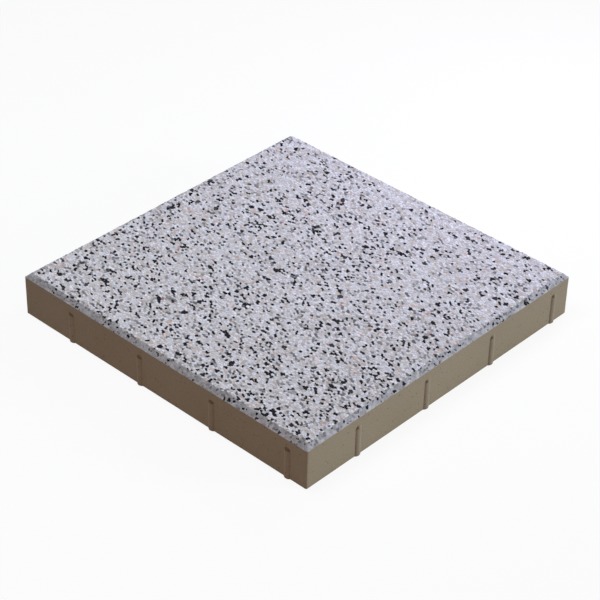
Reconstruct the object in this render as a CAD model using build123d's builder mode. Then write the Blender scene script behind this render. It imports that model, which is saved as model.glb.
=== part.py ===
"""Square concrete paving slab: a bevelled stone-chip facing on a plain backing with spacer ribs."""

import os

from build123d import *

# Sizes in millimetres.
slab_side = 396.0  # side of the concrete between opposite faces, without the ribs
slab_thickness = 50.0
corner_radius = 2.0  # upright corners of the slab

# The facing is as thick as its bevel is high.
facing_thickness = 5.0
bevel_width = 5.5  # how far the bevel runs in from the side
face_corner_radius = 2.5  # corners of the flat face inside the bevel
arris_radius = 1.0  # the blasted edge between the flat face and the bevel

# Spacer ribs on the four sides: upright rounded bars, partly sunk in the side.
rib_radius = 5.0
rib_projection = 2.0
rib_pitch = 100.0
rib_end_distance = 25.0  # from the last rib's middle to the slab's corner
rib_setback = 8.8  # from the top of a rib up to the facing

backing_thickness = slab_thickness - facing_thickness
face_side = slab_side - 2 * bevel_width

# A rib's middle lies this far from the slab's centre plane.
rib_axis_offset = slab_side / 2 + rib_projection - rib_radius

# The rounded end of a rib meets the side this far above the rib's straight part.
rib_end_rise = (rib_radius**2 - (rib_radius - rib_projection) ** 2) ** 0.5
rib_straight_height = backing_thickness - rib_setback - rib_end_rise

rib_shoulder = (rib_radius, rib_straight_height)
rib_tip = (0, rib_straight_height + rib_radius)

ribs_on_side = int((slab_side - 2 * rib_end_distance) // rib_pitch) + 1
rib_places = [
    (slab_side / 2 - rib_end_distance - rib_pitch * index, -rib_axis_offset)
    for index in range(ribs_on_side)
]

# One rib: a round bar with a ball end, standing on the floor.
with BuildPart() as rib:
    with BuildSketch(Plane.XZ):
        with BuildLine():
            Polyline(rib_tip, (0, 0), (rib_radius, 0), rib_shoulder)
            RadiusArc(rib_shoulder, rib_tip, -rib_radius)
        make_face()
    revolve(axis=Axis.Z)

# Backing concrete with its ribs. Each side repeats the one before it, turned by a quarter,
# so the ribs of neighbouring slabs stand beside each other.
with BuildPart() as backing_layer:
    with BuildSketch(Plane.XY):
        RectangleRounded(slab_side, slab_side, corner_radius)
    extrude(amount=backing_thickness)
    with PolarLocations(0, 4):
        with Locations(*rib_places):
            add(rib.part)

# Facing concrete, from the foot of the bevel up to the flat face.
with BuildPart() as facing_layer:
    with BuildSketch(Plane.XY.offset(backing_thickness)):
        RectangleRounded(slab_side, slab_side, corner_radius)
    with BuildSketch(Plane.XY.offset(slab_thickness)):
        RectangleRounded(face_side, face_side, face_corner_radius)
    loft(ruled=True)
    flat_face = facing_layer.faces().sort_by(Axis.Z)[-1]
    fillet(flat_face.edges(), arris_radius)

os.makedirs("parts", exist_ok=True)
backing_layer.part.label = "backing_layer"
export_step(backing_layer.part, "parts/backing_layer.step")
facing_layer.part.label = "facing_layer"
export_step(facing_layer.part, "parts/facing_layer.step")
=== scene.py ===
import math

import bpy
import numpy as np
from mathutils import Matrix, Vector
from mathutils.geometry import delaunay_2d_cdt


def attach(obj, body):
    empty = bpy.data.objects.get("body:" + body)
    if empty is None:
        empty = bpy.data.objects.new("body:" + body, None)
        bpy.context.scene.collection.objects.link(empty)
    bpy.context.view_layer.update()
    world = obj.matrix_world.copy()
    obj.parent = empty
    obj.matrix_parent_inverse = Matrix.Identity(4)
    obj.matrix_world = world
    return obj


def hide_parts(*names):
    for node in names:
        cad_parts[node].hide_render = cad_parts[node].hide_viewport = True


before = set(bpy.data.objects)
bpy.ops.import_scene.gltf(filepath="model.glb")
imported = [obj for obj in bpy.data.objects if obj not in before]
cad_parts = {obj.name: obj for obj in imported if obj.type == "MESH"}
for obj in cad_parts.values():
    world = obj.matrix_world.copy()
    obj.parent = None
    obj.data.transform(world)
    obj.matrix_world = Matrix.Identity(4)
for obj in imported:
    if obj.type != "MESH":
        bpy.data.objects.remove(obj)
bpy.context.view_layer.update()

MM = 0.001

# Sizes of the slab in millimetres, as in the solids.
SIDE_HALF = 198.0
CORNER = 2.0
FACE_HALF = 192.5
FACE_CORNER = 2.5
FACE_Z = 50.0
BOUNDARY_Z = 45.0
BEVEL_WIDTH = SIDE_HALF - FACE_HALF
BEVEL_HEIGHT = FACE_Z - BOUNDARY_Z
BEVEL_LENGTH = math.hypot(BEVEL_WIDTH, BEVEL_HEIGHT)
RIB_RADIUS = 5.0
RIB_PROJECTION = 2.0
RIB_STRAIGHT = 32.2  # height of a rib below its rounded top
RIB_PLACES = (173.0, 73.0, -27.0, -127.0)

# The cement between the stones lies this far below the flat face of the solid.
RECESS = 0.32

# The stones at the edge of the face reach this far over it.
OVERHANG = 0.3

# Stones keep this share of their radii apart.
CLOSENESS = 0.72

# Cosine and sine of no turn and of one to three quarter turns.
QUARTER_TURNS = ((1, 0), (0, 1), (-1, 0), (0, -1))


def value_noise(x, y, cell, seed):
    """Smooth noise between -1 and 1 over a plane, with bumps about one cell wide."""
    table = np.random.default_rng(seed).uniform(-1, 1, (512, 512))
    gx, gy = np.asarray(x) / cell + 256.0, np.asarray(y) / cell + 256.0
    ix, iy = np.floor(gx).astype(int), np.floor(gy).astype(int)
    fx, fy = gx - ix, gy - iy
    fx, fy = fx * fx * (3 - 2 * fx), fy * fy * (3 - 2 * fy)
    a = table[ix % 512, iy % 512] * (1 - fx) + table[(ix + 1) % 512, iy % 512] * fx
    b = table[ix % 512, (iy + 1) % 512] * (1 - fx) + table[(ix + 1) % 512, (iy + 1) % 512] * fx
    return a * (1 - fy) + b * fy


def to_object(name, vertices, faces, smooth=False):
    """A mesh object from points in millimetres."""
    mesh = bpy.data.meshes.new(name)
    mesh.from_pydata((np.asarray(vertices) * MM).tolist(), [], faces)
    mesh.polygons.foreach_set("use_smooth", [smooth] * len(mesh.polygons))
    mesh.update()
    piece = bpy.data.objects.new(name, mesh)
    bpy.context.scene.collection.objects.link(piece)
    return piece


def corner_vertices(mesh):
    """The vertex at each corner of each face."""
    found = np.empty(len(mesh.loops), np.int32)
    mesh.loops.foreach_get("vertex_index", found)
    return found


def plan_map(piece, low=0.0, high=1.0):
    """A map of the piece as seen from above, so that each stone has its own place."""
    mesh = piece.data
    points = np.empty(len(mesh.vertices) * 3, np.float32)
    mesh.vertices.foreach_get("co", points)
    points = points.reshape(-1, 3)
    plan = low + (points[:, :2] / (2.02 * SIDE_HALF * MM) + 0.5) * (high - low)
    layer = mesh.uv_layers.new(name="OFBake")
    layer.uv.foreach_set("vector", plan[corner_vertices(mesh)].astype(np.float32).ravel())
    return layer


def outline(points, half, radius):
    """Moves points of the face's square outline to a square of another size and corner radius."""
    core = FACE_HALF - FACE_CORNER
    sign = np.where(points < 0, -1.0, 1.0)
    ax, ay = np.abs(points).T
    in_corner = (ax > core) & (ay > core)
    angle = np.arctan2(np.maximum(ay - core, 0), np.maximum(ax - core, 1e-9))
    bend = half - radius + radius * np.stack([np.cos(angle), np.sin(angle)], 1)
    run = (half - radius) / core
    along_y = np.stack([np.full_like(ax, half), ay * run], 1)
    along_x = np.stack([ax * run, np.full_like(ax, half)], 1)
    straight = np.where((ax >= ay)[:, None], along_y, along_x)
    return sign * np.where(in_corner[:, None], bend, straight)


def grid_with_rim(half, radius, steps):
    """Points and faces of a square grid with rounded corners, and the loop of its outer points."""
    line = np.linspace(-half, half, steps + 1)
    gx, gy = np.meshgrid(line, line, indexing="ij")
    points = np.stack([gx.ravel(), gy.ravel()], 1)
    core = half - radius
    d = np.maximum(np.abs(points) - core, 0)
    both = (d > 0).all(1)
    scale = np.ones(len(points))
    scale[both] = d[both].max(1) / np.linalg.norm(d[both], axis=1)
    points = np.where(both[:, None], np.sign(points) * (core + d * scale[:, None]), points)
    n = steps + 1
    i, j = np.meshgrid(np.arange(steps), np.arange(steps), indexing="ij")
    first = (i * n + j).ravel()
    faces = np.stack([first, first + n, first + n + 1, first + 1], 1).tolist()
    k = np.arange(steps)
    loop = np.concatenate([k * n, steps * n + k, (steps - k) * n + steps, steps - k])
    square = np.stack([gx.ravel(), gy.ravel()], 1)[loop] * FACE_HALF / half
    return points, faces, loop, square


def strip(first, second, count):
    """Faces between two closed loops of points, given by the numbers of their first points."""
    k = np.arange(count)
    after = (k + 1) % count
    return np.stack([first + k, second + k, second + after, first + after], 1).tolist()


# Facing: the cement ground of the face and the bevel
def make_facing_ground():
    """A rough plane under the stones, and the bevel's skin from its edge down to the backing."""
    plan, faces, loop, square = grid_with_rim(FACE_HALF - 0.6, FACE_CORNER - 0.4, steps=192)
    z = FACE_Z - RECESS + 0.10 * value_noise(*plan.T, 3.0, 1) + 0.08 * value_noise(*plan.T, 11.0, 2)
    points = [np.column_stack([plan, z])]
    count = len(loop)
    total = len(plan)
    previous = None
    # How far out from the face each loop of the bevel lies, and how far below the true slope.
    profile = [(0.0, 0.42), (0.5, 0.28), (1.2, 0.16), (2.0, 0.12), (2.9, 0.10)]
    profile += [(3.8, 0.09), (4.6, 0.06), (5.2, 0.03), (5.5, 0.0)]
    for run, sunk in profile:
        share = run / BEVEL_WIDTH
        radius = FACE_CORNER + (CORNER - FACE_CORNER) * share
        ring = outline(square, FACE_HALF + run, radius)
        level = FACE_Z - BEVEL_HEIGHT * share - sunk
        rough = 0.10 * value_noise(*ring.T, 2.6, 3) + 0.12 * value_noise(*ring.T, 9.0, 4)
        rough = rough * min(1.0, BEVEL_WIDTH - run)
        points.append(np.column_stack([ring, level + rough]))
        if previous is None:
            k = np.arange(count)
            after = (k + 1) % count
            faces += np.stack([loop, total + k, total + after, loop[after]], 1).tolist()
        else:
            faces += strip(previous, total, count)
        previous = total
        total += count
    points.append([[0.0, 0.0, BOUNDARY_Z]])
    k = np.arange(count)
    under = np.stack([previous + k, np.full(count, total), previous + (k + 1) % count], 1).tolist()
    piece = to_object("facing_ground", np.concatenate(points), faces + under, smooth=True)
    skin = np.ones(total + 1, np.float32)
    skin[: len(plan)] = 0.0
    skin[loop] = 1.0
    piece.data.attributes.new("skin", "FLOAT", "POINT").data.foreach_set("value", skin)
    layer = plan_map(piece, 0.0, 0.97)
    # The hidden underside has a small place of its own on the map.
    places = np.empty(len(piece.data.loops) * 2, np.float32)
    layer.uv.foreach_get("vector", places)
    places = places.reshape(-1, 2)
    places[-3 * count:] = 0.975 + 0.02 * places[-3 * count:]
    layer.uv.foreach_set("vector", places.ravel())
    return piece


# Facing: the stones
def scatter(places, radii, urgent, closeness):
    """Numbers of the places that are kept, apart by their radii: the urgent first, then the largest."""
    cell = 2 * closeness * float(radii.max()) + 0.1
    filled = {}
    kept = []
    for number in np.lexsort((-radii, ~urgent)).tolist():
        x, y, radius = *places[number].tolist(), float(radii[number])
        cx, cy = int(x // cell), int(y // cell)
        near = [q for i in (-1, 0, 1) for j in (-1, 0, 1) for q in filled.get((cx + i, cy + j), ())]
        if all((x - a) ** 2 + (y - b) ** 2 > (closeness * (radius + c)) ** 2 for a, b, c in near):
            filled.setdefault((cx, cy), []).append((x, y, radius))
            kept.append(number)
    return np.array(kept)


class Mosaic:
    """Flat cells that fill a plane, one round each place. A stone is one cell or a few joined ones."""

    def __init__(self, places):
        triangles = np.array(delaunay_2d_cdt([Vector(p) for p in places], [], [], 0, 1e-6)[2])
        a, b, c = (places[triangles[:, k]] for k in range(3))
        b, c = b - a, c - a
        bb, cc = (b * b).sum(1), (c * c).sum(1)
        area = 2 * (b[:, 0] * c[:, 1] - b[:, 1] * c[:, 0])
        centre = np.stack([c[:, 1] * bb - b[:, 1] * cc, b[:, 0] * cc - c[:, 0] * bb], 1)
        self.places = places
        self.meets = a + centre / area[:, None]
        cell = triangles.ravel()
        meet = np.repeat(np.arange(len(triangles)), 3)
        turn = np.arctan2(*(self.meets[meet] - places[cell]).T[::-1])
        order = np.lexsort((turn, cell))
        self.cell, self.meet = cell[order], meet[order]


def within_face(points, half, radius):
    """Draws points that lie outside a square with rounded corners back to its outline."""
    core = half - radius
    d = np.maximum(np.abs(points) - core, 0)
    far = np.linalg.norm(d, axis=1)
    back = np.where(far > radius, radius / np.maximum(far, 1e-9), 1.0)
    return np.sign(points) * (np.minimum(np.abs(points), core) + d * back[:, None])


def stone_solids(rng, mosaic, stone, wanted, rise, sink, lean):
    """Closed stones over a plane: points as (across, along, height), faces, and a tone for each point."""
    gap, shoulder = 0.09, 0.20  # half the joint between stones, and how far their tops are drawn in
    mine = wanted[mosaic.cell]
    cell, meet = mosaic.cell[mine], mosaic.meet[mine]
    # A stone has one corner wherever three cells meet. It is drawn in, unless all three are its own.
    key, corner = np.unique(stone[cell] * len(mosaic.meets) + meet, return_inverse=True)
    total = len(key)
    owner = np.unique(key // len(mosaic.meets), return_inverse=True)[1]
    at = mosaic.meets[key % len(mosaic.meets)]
    inward = (mosaic.places[cell] - mosaic.meets[meet]).T
    inward = np.stack([np.bincount(corner, part) for part in inward], 1)
    inward *= (np.bincount(corner) < 3)[:, None] / np.maximum(np.linalg.norm(inward, axis=1), 1e-9)[:, None]
    count = np.bincount(owner)
    middle = np.stack([np.bincount(owner, part) / count for part in at.T], 1)
    height = rise + 0.4 * rng.uniform(0, 1, len(count)) ** 1.5
    slope = rng.normal(0, lean, (len(count), 2))
    top = at + (gap + shoulder) * inward
    level = height[owner] + (slope[owner] * (top - middle[owner])).sum(1) + rng.normal(0, 0.03, total)
    foot = np.column_stack([at + gap * inward, np.full(total, -sink)])
    points = np.concatenate([np.column_stack([top, np.clip(level, 0.02, rise + 0.5)]), foot])
    # Each cell is one face above and one below, and walls stand where a stone ends.
    first = np.flatnonzero(np.diff(cell, prepend=-1))
    last = np.append(first[1:], len(cell)) - 1
    after = np.roll(corner, -1)
    after[last] = corner[first]
    tops = [corner[a : b + 1].tolist() for a, b in zip(first, last)]
    bases = [[total + k for k in reversed(face)] for face in tops]
    rim = ~np.isin(corner * total + after, after * total + corner)
    a, b = corner[rim], after[rim]
    walls = np.stack([a, total + a, total + b, b], 1).tolist()
    tone = rng.uniform(0, 1, len(count))[owner]
    return points, bases + walls + tops, np.concatenate([tone, tone])


def stone_piece(name, parts, material):
    """One object from several sets of stones that are already in place."""
    points, faces, tones = [], [], []
    total = 0
    for more_points, more_faces, more_tones in parts:
        faces += [[total + i for i in face] for face in more_faces]
        points.append(more_points)
        tones.append(more_tones)
        total += len(more_points)
    piece = to_object(name, np.concatenate(points), faces)
    tone = piece.data.attributes.new("tone", "FLOAT", "POINT")
    tone.data.foreach_set("value", np.concatenate(tones).astype(np.float32))
    plan_map(piece)
    finish(piece, material, "facing_layer")


def on_face(solids):
    """Lays stones on the face, which ends in an uneven, worn edge."""
    points, faces, tones = solids
    uneven = 0.3 * np.maximum(value_noise(*points[:, :2].T, 9.0, 21), 0)
    plan = within_face(points[:, :2], (FACE_HALF + OVERHANG - uneven)[:, None], FACE_CORNER)
    core = FACE_HALF - FACE_CORNER
    from_edge = FACE_CORNER - np.linalg.norm(np.maximum(np.abs(plan) - core, 0), axis=1)
    worn = 0.15 * np.clip(1 - from_edge, 0, 1) ** 2
    return np.column_stack([plan, FACE_Z - RECESS + points[:, 2] - worn]), faces, tones


def on_bevel(solids, quarter):
    """Lays stones on one of the four slopes, with their second measure going down from the face."""
    points, faces, tones = solids
    slope = math.atan2(BEVEL_HEIGHT, BEVEL_WIDTH)
    across, down, height = points.T
    down = np.clip(down, 0.15, BEVEL_LENGTH - 0.12)
    out = FACE_HALF + down * math.cos(slope) + height * math.sin(slope)
    level = FACE_Z - 0.12 - down * math.sin(slope) + height * math.cos(slope)
    c, s = QUARTER_TURNS[quarter]
    return np.column_stack([out * c - across * s, out * s + across * c, level]), faces, tones


# Backing: the plain concrete with its ribs
def rib_offset(along, z):
    """How far the side stands out at a place along it, because of a rib."""
    nearest = np.abs(np.asarray(along)[..., None] - np.array(RIB_PLACES)).min(-1)
    over = np.maximum(z - RIB_STRAIGHT, 0)
    inside = RIB_RADIUS**2 - nearest**2 - over**2
    return np.maximum(np.sqrt(np.maximum(inside, 0)) - (RIB_RADIUS - RIB_PROJECTION), 0)


def side_columns():
    """Places along one side, closer together at the ribs."""
    core = SIDE_HALF - CORNER
    fine = [0.0, 0.6, 1.2, 1.8, 2.4, 2.9, 3.3, 3.6, 3.85, 4.0, 4.15, 4.6, 5.4]
    at_ribs = {round(place + sign * d, 3) for place in RIB_PLACES for d in fine for sign in (-1, 1)}
    plain = [x for x in np.linspace(-core, core, 151) if min(abs(x - p) for p in RIB_PLACES) > 6.0]
    return np.array(sorted(at_ribs | {round(float(x), 3) for x in plain}))


def make_backing():
    """The four sides with their ribs, from the floor up to the facing, closed above and below."""
    columns = side_columns()
    far_from_ribs = 999.0
    bend = np.linspace(0, np.pi / 2, 8)[1:-1]
    core = SIDE_HALF - CORNER
    # One side and the corner after it, going round the slab as seen from above.
    side = [(x, -SIDE_HALF, 0.0, -1.0, x) for x in columns]
    for t in bend:
        nx, ny = math.sin(t), -math.cos(t)
        side.append((core + CORNER * nx, -core + CORNER * ny, nx, ny, far_from_ribs))
    side = np.array(side)
    loop = []
    for c, s in QUARTER_TURNS:
        turned = side.copy()
        turned[:, 0], turned[:, 1] = c * side[:, 0] - s * side[:, 1], s * side[:, 0] + c * side[:, 1]
        turned[:, 2], turned[:, 3] = c * side[:, 2] - s * side[:, 3], s * side[:, 2] + c * side[:, 3]
        loop.append(turned)
    loop = np.concatenate(loop)
    count = len(loop)
    levels = [0.0, 0.25, 0.6, 1.2] + list(np.linspace(3.0, RIB_STRAIGHT - 1.5, 16))
    levels += [RIB_STRAIGHT + d for d in (0.0, 0.7, 1.4, 2.0, 2.6, 3.1, 3.5, 3.8, 4.0, 4.3, 5.0)]
    levels += [BOUNDARY_Z - d for d in (6.5, 5.0, 3.5, 2.0, 0.8, 0.2, 0.0)]
    points = []
    faces = []
    length = np.arange(count) * 0.9
    for row, z in enumerate(levels):
        worn = 0.35 * max(0.0, 1 - z / 0.6) ** 2
        height = np.full(count, z)
        rough = 0.05 * value_noise(length, height, 6.0, 5) + 0.05 * value_noise(length, height, 25.0, 6)
        rough = np.minimum(rough, 0.0) if z in (0.0, BOUNDARY_Z) else rough
        out = rib_offset(loop[:, 4], z) - worn + rough - 0.05
        points.append(np.column_stack([loop[:, :2] + out[:, None] * loop[:, 2:4], height]))
        if row:
            faces += [[a, d, c, b] for a, b, c, d in strip((row - 1) * count, row * count, count)]
    total = count * len(levels)
    points.append([[0.0, 0.0, BOUNDARY_Z], [0.0, 0.0, 0.0]])
    k = np.arange(count)
    after = (k + 1) % count
    top = (len(levels) - 1) * count
    faces += np.stack([top + k, top + after, np.full(count, total)], 1).tolist()
    faces += np.stack([after, k, np.full(count, total + 1)], 1).tolist()
    piece = to_object("backing_concrete", np.concatenate(points), faces, smooth=True)
    piece.data.set_sharp_from_angle(angle=math.radians(40))
    return piece


# Materials
class Nodes:
    """Short ways to add nodes to one material."""

    def __init__(self, name):
        self.material = bpy.data.materials.new(name)
        self.material.use_nodes = True
        self.tree = self.material.node_tree
        self.shader = self.tree.nodes["Principled BSDF"]
        self.place = self.add("ShaderNodeTexCoord").outputs["Object"]

    def add(self, kind, **values):
        node = self.tree.nodes.new(kind)
        for key, value in values.items():
            setattr(node, key, value)
        return node

    def link(self, source, target):
        self.tree.links.new(source, target)

    def noise(self, scale, detail=2.0, rough=0.5):
        node = self.add("ShaderNodeTexNoise")
        node.inputs["Scale"].default_value = scale
        node.inputs["Detail"].default_value = detail
        node.inputs["Roughness"].default_value = rough
        self.link(self.place, node.inputs["Vector"])
        return node.outputs["Fac"]

    def cells(self, scale, output="Color"):
        node = self.add("ShaderNodeTexVoronoi")
        node.inputs["Scale"].default_value = scale
        self.link(self.place, node.inputs["Vector"])
        return node.outputs[output]

    def ramp(self, source, stops):
        node = self.add("ShaderNodeValToRGB")
        bar = node.color_ramp.elements
        while len(bar) < len(stops):
            bar.new(0.5)
        for element, (position, colour) in zip(bar, stops):
            element.position = position
            element.color = (*colour, 1.0)
        self.link(source, node.inputs["Fac"])
        return node.outputs["Color"]

    def mix(self, factor, a, b, how="MIX"):
        node = self.add("ShaderNodeMix", data_type="RGBA", blend_type=how)
        for socket, value in zip((node.inputs[0], node.inputs[6], node.inputs[7]), (factor, a, b)):
            if isinstance(value, bpy.types.NodeSocket):
                self.link(value, socket)
            elif isinstance(value, tuple):
                socket.default_value = (*value, 1.0)
            else:
                socket.default_value = value
        return node.outputs[2]

    def attribute(self, name):
        return self.add("ShaderNodeAttribute", attribute_name=name).outputs["Fac"]

    def bump(self, height, strength, distance):
        node = self.add("ShaderNodeBump")
        node.inputs["Strength"].default_value = strength
        node.inputs["Distance"].default_value = distance
        self.link(height, node.inputs["Height"])
        self.link(node.outputs["Normal"], self.shader.inputs["Normal"])

    def between(self, source, start, end):
        """How far a value has gone from one limit to another, from 0 to 1."""
        node = self.add("ShaderNodeMapRange")
        node.inputs["From Min"].default_value = start
        node.inputs["From Max"].default_value = end
        self.link(source, node.inputs["Value"])
        return node.outputs["Result"]

    def times(self, a, b):
        node = self.add("ShaderNodeMath", operation="MULTIPLY")
        self.link(a, node.inputs[0])
        self.link(b, node.inputs[1])
        return node.outputs[0]

    def grey(self, low, high, source):
        """A value between two limits, driven by a source."""
        node = self.add("ShaderNodeMapRange")
        node.inputs["To Min"].default_value = low
        node.inputs["To Max"].default_value = high
        self.link(source, node.inputs["Value"])
        return node.outputs["Result"]


def ground_material():
    """Cement of the face, and the smoother, greyer skin of the bevel below it."""
    m = Nodes("facing_cement")
    grains = m.ramp(
        m.cells(800),
        [(0.0, (0.38, 0.32, 0.28)), (0.4, (0.53, 0.505, 0.53)), (1.0, (0.72, 0.715, 0.79))],
    )
    patches = m.ramp(m.noise(260, 3), [(0.35, (0.58, 0.565, 0.61)), (0.65, (0.46, 0.40, 0.36))])
    face = m.mix(0.55, patches, grains)
    clouds = m.ramp(
        m.noise(170, 4, 0.7),
        [(0.32, (0.252, 0.253, 0.279)), (0.5, (0.374, 0.376, 0.415)), (0.68, (0.502, 0.504, 0.553))],
    )
    dust = m.ramp(m.noise(650, 2), [(0.35, (0.86, 0.86, 0.86)), (0.65, (1.12, 1.12, 1.12))])
    skin = m.mix(1.0, clouds, dust, "MULTIPLY")
    m.link(m.mix(m.attribute("skin"), face, skin), m.shader.inputs["Base Color"])
    m.shader.inputs["Roughness"].default_value = 0.85
    m.shader.inputs["Specular IOR Level"].default_value = 0.25
    m.bump(m.noise(900, 3), 0.4, 0.0002)
    return m.material


def stone_material(name, stops, inside, rough, shine, tint=0.0):
    """A stone whose colour follows its own tone, with mottling inside each stone."""
    m = Nodes(name)
    tone = m.ramp(m.attribute("tone"), stops)
    worn = (1 - 0.6 * inside, 1 - inside, 1 - 1.35 * inside)
    fresh = (1 + 0.8 * inside, 1 + 0.9 * inside, 1 + 1.1 * inside)
    spots = m.ramp(m.noise(800, 2, 0.6), [(0.36, worn), (0.64, fresh)])
    warmer, cooler = (1 + tint, 1 - 0.4 * tint, 1 - 1.2 * tint), (1 - tint, 1, 1 + tint)
    warmth = m.ramp(m.noise(520, 1), [(0.38, warmer), (0.62, cooler)])
    colour = m.mix(1.0, m.mix(1.0, tone, spots, "MULTIPLY"), warmth, "MULTIPLY")
    m.link(colour, m.shader.inputs["Base Color"])
    m.link(m.grey(rough - 0.12, rough + 0.12, m.noise(400)), m.shader.inputs["Roughness"])
    m.shader.inputs["Specular IOR Level"].default_value = shine
    m.bump(m.noise(1500, 2), 0.35, 0.0002)
    return m.material


def backing_material():
    """Smooth brown-grey concrete with small pores, whose dark spots are painted shade, and painted shade on
    the rib tops that face -Y.
    """
    m = Nodes("backing_concrete")
    broad = m.ramp(m.noise(9, 3), [(0.3, (0.289, 0.247, 0.180)), (0.7, (0.309, 0.266, 0.197))])
    fine = m.ramp(m.noise(480, 3, 0.65), [(0.3, (0.90, 0.90, 0.90)), (0.7, (1.08, 1.08, 1.08))])
    colour = m.mix(1.0, broad, fine, "MULTIPLY")
    # The dark spots stand for pores, and their darkness is painted shade inside the holes.
    pores = m.ramp(m.cells(165, "Distance"), [(0.085, (1, 1, 1)), (0.125, (0, 0, 0))])
    colour = m.mix(pores, colour, (0.13, 0.105, 0.08))
    # The rounded tops of the ribs get painted shade: dark brown where they face up and towards -Y.
    normal = m.add("ShaderNodeSeparateXYZ")
    m.link(m.add("ShaderNodeNewGeometry").outputs["True Normal"], normal.inputs[0])
    ledge = m.between(normal.outputs["Z"], 0.06, 0.32)
    turned = m.between(normal.outputs["Y"], 0.0, -0.40)
    colour = m.mix(m.times(ledge, turned), colour, (0.122, 0.087, 0.052))
    m.link(colour, m.shader.inputs["Base Color"])
    m.link(m.grey(0.72, 0.92, m.noise(60)), m.shader.inputs["Roughness"])
    m.shader.inputs["Specular IOR Level"].default_value = 0.22
    m.bump(m.noise(700, 4, 0.6), 0.35, 0.0003)
    return m.material


def finish(piece, material, node):
    """Gives a piece its material, and its place in the part."""
    piece.data.materials.append(material)
    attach(piece, "root")
    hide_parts(node)


ground = make_facing_ground()
finish(ground, ground_material(), "facing_layer")

pale = stone_material(
    "pale_stone",
    [
        (0.0, (0.41, 0.40, 0.43)),
        (0.10, (0.54, 0.485, 0.445)),
        (0.24, (0.57, 0.57, 0.64)),
        (0.40, (0.65, 0.625, 0.65)),
        (0.6, (0.655, 0.66, 0.735)),
        (0.85, (0.715, 0.72, 0.79)),
        (1.0, (0.79, 0.80, 0.865)),
    ],
    inside=0.125,
    rough=0.6,
    shine=0.22,
    tint=0.05,
)
black = stone_material(
    "black_stone",
    [(0.0, (0.007, 0.007, 0.010)), (0.75, (0.015, 0.015, 0.021)), (1.0, (0.06, 0.06, 0.077))],
    inside=0.2,
    rough=0.6,
    shine=0.05,
)
grey = stone_material(
    "grey_stone",
    [(0.0, (0.11, 0.11, 0.125)), (1.0, (0.32, 0.315, 0.345))],
    inside=0.15,
    rough=0.6,
    shine=0.2,
)
warm = stone_material(
    "warm_stone",
    [
        (0.0, (0.60, 0.50, 0.43)),
        (0.5, (0.64, 0.46, 0.41)),
        (0.85, (0.56, 0.34, 0.31)),
        (1.0, (0.34, 0.17, 0.15)),
    ],
    inside=0.1,
    rough=0.55,
    shine=0.2,
)

# Kinds of stone. Cement is left bare, and what lies outside the face is dropped.
OUTSIDE, CEMENT, PALE, BLACK, GREY, WARM = range(6)

# The stones of the face lie a little lengthways, turned by this angle from x.
STRETCH = 1.32
GRAIN_ANGLE = math.radians(-25)

# A coloured stone is a group of one to four cells, here with their places one step apart.
GROUPS = (
    ((0.0, 0.0),),
    ((-0.5, 0.0), (0.5, 0.0)),
    ((-0.5, -0.29), (0.5, -0.29), (0.0, 0.58)),
    ((-0.75, -0.43), (0.25, -0.43), (-0.25, 0.43), (0.75, 0.43)),
)


def coloured_stones(rng, half_x, half_y, counts, grain):
    """Places of the cells of coloured stones, with their radii, kinds and stone numbers."""
    kind = np.repeat(list(counts), list(counts.values()))
    total = len(kind)
    middle = rng.uniform(-1, 1, (8 * total, 2)) * (half_x, half_y)
    x, y = middle.T
    # The stones crowd in clumps, towards -Y and in the front and left corners of the photograph.
    density = 1 + 0.45 * value_noise(x, y, 8.0, 12) + 0.18 * value_noise(x, y, 45.0, 13)
    density += np.clip((x - y) / FACE_HALF - 0.6, 0, 1) - 0.5 * y / FACE_HALF
    density += 0.35 * np.clip(-(x + y) / FACE_HALF - 0.5, 0, 1)
    density -= 0.1 * np.clip((x + y) / FACE_HALF - 0.4, 0, 1)
    middle = middle[rng.uniform(0, 2.4, len(middle)) < density]
    apart = rng.uniform(1.4, 2.9, len(middle))
    kept = rng.permutation(scatter(middle, apart, np.zeros(len(middle), bool), CLOSENESS))[:total]
    middle = middle[kept]
    total = len(kept)
    kind = rng.permutation(kind)[:total]
    angle = rng.normal(-0.35, 0.6, total)
    scale = grain * np.clip(np.exp(rng.normal(0, 0.25, total)), 0.6, 1.6)
    cells = rng.choice([1, 2, 3, 4], total, p=[0.25, 0.37, 0.22, 0.16])
    scale[kind == WARM] *= 0.8
    cells[kind == WARM] = 1
    cells[kind == GREY] = np.minimum(cells[kind == GREY], 2)
    number = np.repeat(np.arange(total), cells)
    across, along = 1.5 * scale[number] * np.concatenate([GROUPS[k - 1] for k in cells]).T
    cos, sin = np.cos(angle)[number], np.sin(angle)[number]
    turned = np.stack([cos * across - sin * along, sin * across + cos * along], 1)
    places = middle[number] + turned + rng.normal(0, 0.2, (len(number), 2))
    return places, 0.95 * scale[number], kind[number], number


def lay_out(rng, half_x, half_y, counts, grain, tries, usual, share_bare):
    """A mosaic of stones over a rectangle, with the kind and the stone's number of each cell."""
    places, radii, kind, number = coloured_stones(rng, half_x, half_y, counts, grain)
    more = rng.uniform(-1, 1, (tries, 2)) * (half_x, half_y)
    more_radii = np.clip(usual * np.exp(rng.normal(0, 0.34, tries)), 0.5 * usual, 1.9 * usual)
    more_kind = np.where(rng.uniform(0, 1, tries) < share_bare, CEMENT, PALE)
    places, radii = np.concatenate([places, more]), np.concatenate([radii, more_radii])
    kind = np.concatenate([kind, more_kind])
    number = np.concatenate([number, len(number) + np.arange(tries)])
    kept = scatter(places, radii, kind > PALE, CLOSENESS)
    return Mosaic(places[kept]), kind[kept], number[kept]


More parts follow.
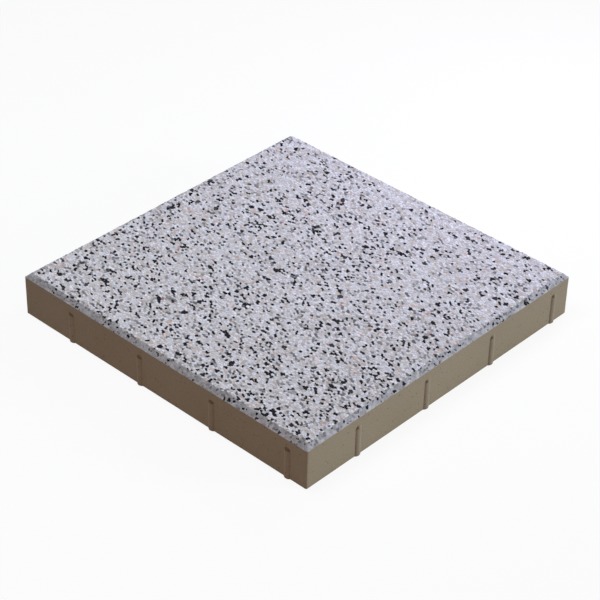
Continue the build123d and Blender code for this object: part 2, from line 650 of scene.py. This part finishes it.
rng = np.random.default_rng(41)
reach = FACE_HALF + 6
face_stones, kind, number = lay_out(
    rng,
    0.92 * reach,
    1.06 * reach,
    {BLACK: 1850, GREY: 1520, WARM: 690},
    grain=1.16,
    tries=170000,
    usual=1.12,
    share_bare=0.10,
)
lengthways = Vector((math.cos(GRAIN_ANGLE), math.sin(GRAIN_ANGLE)))
pull = np.array(Matrix.Scale(STRETCH, 2, lengthways))
face_stones.places = face_stones.places @ pull.T
face_stones.meets = face_stones.meets @ pull.T
clear_of_edge = within_face(face_stones.places, FACE_HALF + OVERHANG, FACE_CORNER)
kind[np.abs(face_stones.places - clear_of_edge).max(1) > 1e-6] = OUTSIDE

# On the slopes only a few dark stones show through the cement.
STRIP_HALF = 7.0
STRIP_MIDDLE = (0.0, 3.6)
SLOPE_MARGIN = 0.3
slopes = {BLACK: [], GREY: []}
for quarter in range(4):
    strip_stones, strip_kind, strip_number = lay_out(
        rng, reach, STRIP_HALF, {BLACK: 68, GREY: 210}, grain=1.0, tries=5000, usual=1.1, share_bare=1.0
    )
    strip_stones.places += STRIP_MIDDLE
    strip_stones.meets += STRIP_MIDDLE
    along, down = strip_stones.places.T
    off_slope = (down < SLOPE_MARGIN) | (down > BEVEL_LENGTH - SLOPE_MARGIN)
    strip_kind[(np.abs(along) > FACE_HALF - 1) | off_slope] = OUTSIDE
    for each in slopes:
        wanted = strip_kind == each
        solids = stone_solids(rng, strip_stones, strip_number, wanted, rise=0.0, sink=0.3, lean=0.01)
        slopes[each].append(on_bevel(solids, quarter))


def face_part(wanted):
    """The wanted stones of the face, in place."""
    return on_face(stone_solids(rng, face_stones, number, wanted, rise=0.10, sink=0.30, lean=0.075))


half_of = number % 2 == 0
stone_piece("pale_stones_1", [face_part((kind == PALE) & half_of)], pale)
stone_piece("pale_stones_2", [face_part((kind == PALE) & ~half_of)], pale)
stone_piece("black_stones", [face_part(kind == BLACK)] + slopes[BLACK], black)
stone_piece("grey_stones", [face_part(kind == GREY)] + slopes[GREY], grey)
stone_piece("warm_stones", [face_part(kind == WARM)], warm)

backing = make_backing()
finish(backing, backing_material(), "backing_layer")

# Floor and light
scene = bpy.context.scene


def seen_directly(tree):
    """1 for what the camera sees, also mirrored or through glass, and 0 for light that falls on things."""
    path = tree.nodes.new("ShaderNodeLightPath")
    total = path.outputs["Is Camera Ray"]
    for name in ("Is Glossy Ray", "Is Transmission Ray"):
        either = tree.nodes.new("ShaderNodeMath")
        either.operation = "MAXIMUM"
        tree.links.new(total, either.inputs[0])
        tree.links.new(path.outputs[name], either.inputs[1])
        total = either.outputs[0]
    return total


# The floor lies just below the slab. It lights the slab as a grey floor does, and shows as white
# with a faint shadow.
FLOOR_HALF = 4000.0
FLOOR_Z = -0.05
FLOOR_GREY = 0.42
FLOOR_WHITE = 0.95
FLOOR_GLOW = 0.9
floor_corners = [(x * FLOOR_HALF, y * FLOOR_HALF, FLOOR_Z) for x, y in ((-1, -1), (1, -1), (1, 1), (-1, 1))]
floor = to_object("floor", floor_corners, [(0, 1, 2, 3)])
floor_nodes = Nodes("floor_white")
floor_nodes.shader.inputs["Roughness"].default_value = 1.0
floor_nodes.shader.inputs["Specular IOR Level"].default_value = 0.0
glow = floor_nodes.add("ShaderNodeEmission")
blend = floor_nodes.add("ShaderNodeMixShader")
straight = seen_directly(floor_nodes.tree)
floor_nodes.link(floor_nodes.grey(FLOOR_GREY, FLOOR_WHITE, straight), floor_nodes.shader.inputs["Base Color"])
floor_nodes.link(floor_nodes.grey(0.0, FLOOR_GLOW, straight), blend.inputs[0])
floor_nodes.link(floor_nodes.shader.outputs[0], blend.inputs[1])
floor_nodes.link(glow.outputs[0], blend.inputs[2])
floor_nodes.link(blend.outputs[0], floor_nodes.tree.nodes["Material Output"].inputs["Surface"])
floor.data.materials.append(floor_nodes.material)

WORLD_LIGHT = 0.18
world = bpy.data.worlds.new("studio")
world.use_nodes = True
sky = world.node_tree
sky.nodes["Background"].inputs["Color"].default_value = (1.0, 1.0, 1.0, 1.0)
strength = sky.nodes.new("ShaderNodeMapRange")
strength.inputs["To Min"].default_value = WORLD_LIGHT
strength.inputs["To Max"].default_value = 1.0
sky.links.new(seen_directly(sky), strength.inputs["Value"])
sky.links.new(strength.outputs["Result"], sky.nodes["Background"].inputs["Strength"])
scene.world = world


def area_light(name, towards, distance, size, power, colour):
    """A round lamp in metres and watts, in a direction from the slab and facing it."""
    data = bpy.data.lights.new(name, "AREA")
    data.shape = "DISK"
    data.size = size
    data.energy = power
    data.color = colour
    lamp = bpy.data.objects.new(name, data)
    direction = Vector(towards).normalized()
    lamp.location = direction * distance
    lamp.rotation_euler = direction.to_track_quat("Z", "Y").to_euler()
    scene.collection.objects.link(lamp)


area_light("key", (0.78, 0.585, 0.22), 9.0, 3.3, 533.0, (0.995, 0.995, 0.995))
area_light("top", (-0.12, -0.2, 0.97), 1.18, 0.6, 6.05, (0.875, 0.99, 0.985))
area_light("back", (0.0, 0.8, 0.6), 0.8, 0.3, 2.4, (0.83, 0.81, 1.14))
area_light("fill", (0.22, -0.965, 0.12), 1.8, 0.7, 4.35, (1.0, 0.36, 0.18))

# Camera, from the slab's edges in the photograph
IMAGE_WIDTH = 600.0  # pixels
FOCAL_LENGTH = 2036.5  # pixels
SENSOR_WIDTH = 36.0
azimuth, elevation, roll = (math.radians(a) for a in (42.398, 35.620, 1.499))
across = Vector((math.cos(azimuth), math.sin(azimuth), 0.0))
level = Vector((math.sin(azimuth), -math.cos(azimuth), 0.0))
back = level * math.cos(elevation) + Vector((0.0, 0.0, math.sin(elevation)))
upward = back.cross(across)
right = across * math.cos(roll) + upward * math.sin(roll)
up = upward * math.cos(roll) - across * math.sin(roll)
camera_data = bpy.data.cameras.new("camera")
camera_data.sensor_width = SENSOR_WIDTH
camera_data.lens = SENSOR_WIDTH * FOCAL_LENGTH / IMAGE_WIDTH
camera = bpy.data.objects.new("camera", camera_data)
location = (2.65 * right + 12.95 * up + 2115.99 * back) * MM
camera.matrix_world = Matrix.Translation(location) @ Matrix((right, up, back)).transposed().to_4x4()
scene.collection.objects.link(camera)
scene.camera = camera
scene.view_settings.view_transform = "Standard"
